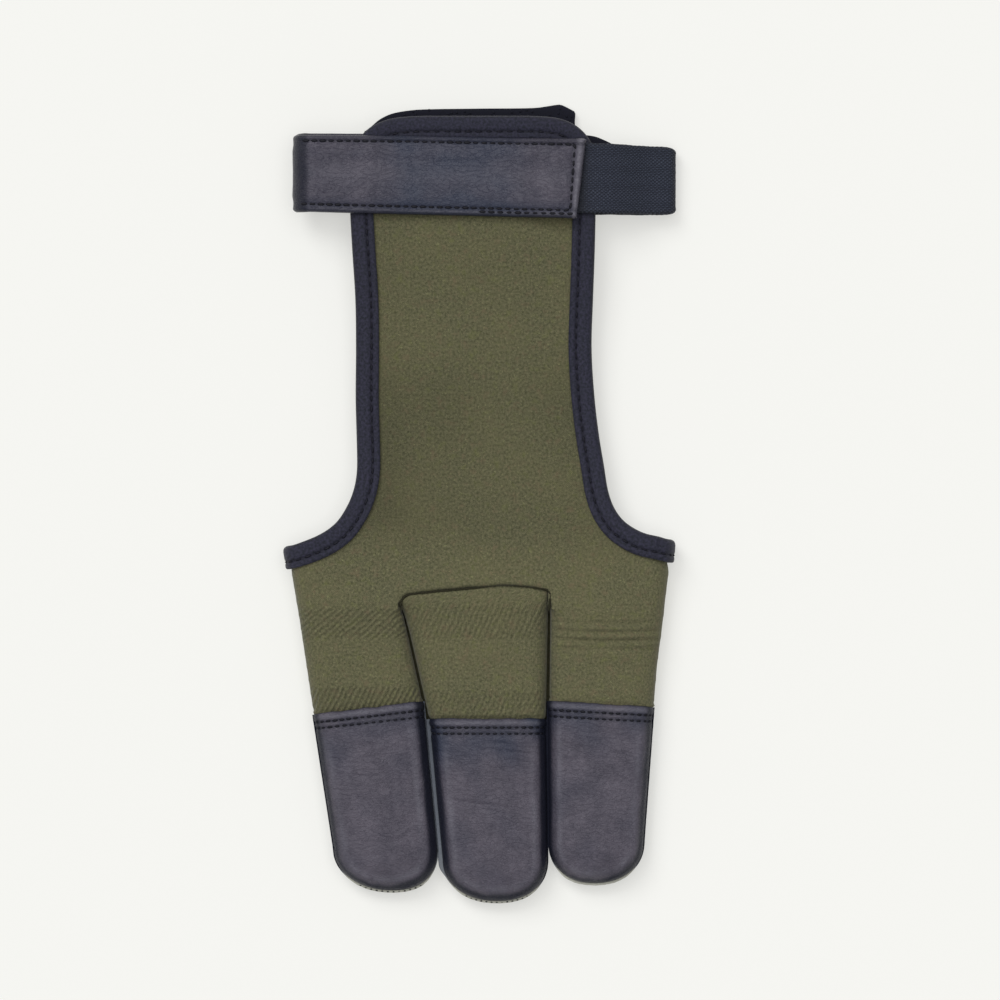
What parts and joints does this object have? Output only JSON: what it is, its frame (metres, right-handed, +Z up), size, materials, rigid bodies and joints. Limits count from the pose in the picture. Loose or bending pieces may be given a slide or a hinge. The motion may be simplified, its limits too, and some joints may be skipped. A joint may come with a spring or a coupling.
{
  "type": "archery glove",
  "caption": "Soft archery glove with leather finger stalls, a cloth hand panel open at the back, and a leather and elastic wrist strap.",
  "frame": {"origin": "middle of the glove's outline, on the surface that it lies on", "axes": "+X across the hand from the index to the ring finger, +Y from the fingertips to the wrist, +Z up out of the shown side"},
  "size_m": [0.1138, 0.2304, 0.0173],
  "materials": {
    "stretch_cloth": "fine olive stretch cloth, matt",
    "stall_leather": "soft black leather with a fine grain, slightly sheeny",
    "strap_leather": "smooth black leather with a fine grain",
    "binding_tape": "dark blue-black folded tape, matt",
    "elastic_knit": "dark knitted elastic with fine slanting ribs",
    "closure_pile": "black hook and loop, matt"
  },
  "bodies": {
    "root": {"hand_panel": "stretch_cloth", "middle_sleeve": "stretch_cloth", "index_stall_front": "stall_leather", "index_stall_back": "stall_leather", "middle_stall_front": "stall_leather", "middle_stall_back": "stall_leather", "ring_stall_front": "stall_leather", "ring_stall_back": "stall_leather", "edge_binding": "binding_tape", "wrist_strap": "strap_leather", "elastic_band": "elastic_knit", "loop_patch": "closure_pile", "hook_tab": "closure_pile"}
  },
  "joints": []
}
